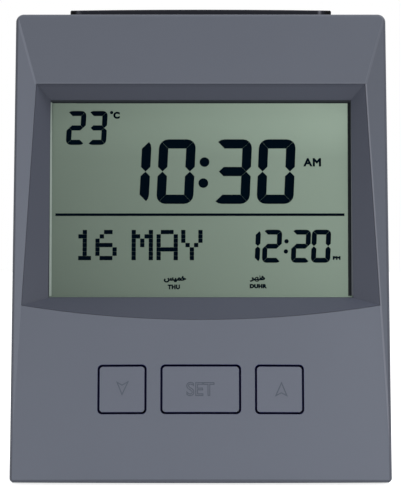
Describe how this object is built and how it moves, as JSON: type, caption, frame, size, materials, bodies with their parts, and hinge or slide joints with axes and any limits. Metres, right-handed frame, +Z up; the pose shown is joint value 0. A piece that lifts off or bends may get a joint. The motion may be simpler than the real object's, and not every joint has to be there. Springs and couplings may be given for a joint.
{
  "type": "prayer time clock",
  "caption": "Leaning-face desk clock for prayer times: framed display, keys below it, press bar on top, speaker grille and battery door behind.",
  "frame": {"origin": "centre of the bounding box's bottom, on the surface that the clock stands on", "axes": "+Z up, the display faces -Y and leans back, +X to the right of someone reading the display"},
  "size_m": [0.1182, 0.0564, 0.1503],
  "materials": {
    "case_plastic": "fine satin moulding, slate grey",
    "bezel_plastic": "smooth darker slate",
    "key_plastic": "fine satin moulding, slate grey",
    "black_plastic": "satin black",
    "lcd_glass": "grey-green reflective display glass",
    "reflector_film": "matt metallised film",
    "white_plastic": "natural white moulding",
    "elastomer": "layered conductive rubber",
    "circuit_board": "solder-mask green",
    "epoxy": "black epoxy",
    "plated_steel": "nickel-plated",
    "screw_steel": "zinc-plated",
    "cell_wrap": "plain printed sleeve",
    "cone_paper": "black pressed paper",
    "magnet": "sintered ferrite",
    "foot_rubber": "matt black"
  },
  "bodies": {
    "housing": {"front_case": "case_plastic", "rear_case": "case_plastic", "screen_bezel": "bezel_plastic", "lcd_panel": "lcd_glass", "lcd_reflector": "reflector_film", "lcd_holder": "white_plastic", "zebra_strip": "elastomer", "main_board": "circuit_board", "chip_cover": "epoxy", "sound_chip": "epoxy", "quartz_crystal": "plated_steel", "capacitor": "plated_steel", "thermistor": "epoxy", "snooze_board": "circuit_board", "snooze_switch": "black_plastic", "battery_lower": "cell_wrap", "battery_upper": "cell_wrap", "contact_link": "plated_steel", "contact_lower": "plated_steel", "contact_upper": "plated_steel", "speaker_basket": "plated_steel", "speaker_cone": "cone_paper", "speaker_magnet": "magnet", "switch_down": "black_plastic", "switch_set": "black_plastic", "switch_up": "black_plastic", "case_screw_lower_left": "screw_steel", "case_screw_lower_right": "screw_steel", "case_screw_upper_left": "screw_steel", "case_screw_upper_right": "screw_steel", "board_screw_lower_left": "screw_steel", "board_screw_lower_right": "screw_steel", "board_screw_upper_left": "screw_steel", "board_screw_upper_right": "screw_steel", "clamp_left": "plated_steel", "clamp_right": "plated_steel", "clamp_screw_left": "screw_steel", "clamp_screw_right": "screw_steel", "foot_front_left": "foot_rubber", "foot_front_right": "foot_rubber", "foot_rear_left": "foot_rubber", "foot_rear_right": "foot_rubber"},
    "key_down": {"key_down": "key_plastic", "plunger_down": "white_plastic"},
    "key_set": {"key_set": "key_plastic", "plunger_set": "white_plastic"},
    "key_up": {"key_up": "key_plastic", "plunger_up": "white_plastic"},
    "snooze": {"snooze_bar": "black_plastic", "snooze_plunger": "white_plastic"},
    "battery_door": {"battery_door": "case_plastic"}
  },
  "joints": [
    {"name": "key_down_press", "type": "slide", "parent": "housing", "child": "key_down", "axis": [0, 0.9816, -0.1908], "range_m": [0, 0.0008], "stiffness_N_per_m": 900, "springref_m": -0.0006},
    {"name": "key_set_press", "type": "slide", "parent": "housing", "child": "key_set", "axis": [0, 0.9816, -0.1908], "range_m": [0, 0.0008], "stiffness_N_per_m": 900, "springref_m": -0.0006},
    {"name": "key_up_press", "type": "slide", "parent": "housing", "child": "key_up", "axis": [0, 0.9816, -0.1908], "range_m": [0, 0.0008], "stiffness_N_per_m": 900, "springref_m": -0.0006},
    {"name": "snooze_press", "type": "slide", "parent": "housing", "child": "snooze", "axis": [0, 0, -1], "range_m": [0, 0.0012], "stiffness_N_per_m": 700, "springref_m": -0.0008},
    {"name": "battery_door_hinge", "type": "hinge", "parent": "housing", "child": "battery_door", "pos_m": [0, 0.02817, 0.0081], "axis": [-1, 0, 0], "range_deg": [0, 75]}
  ]
}
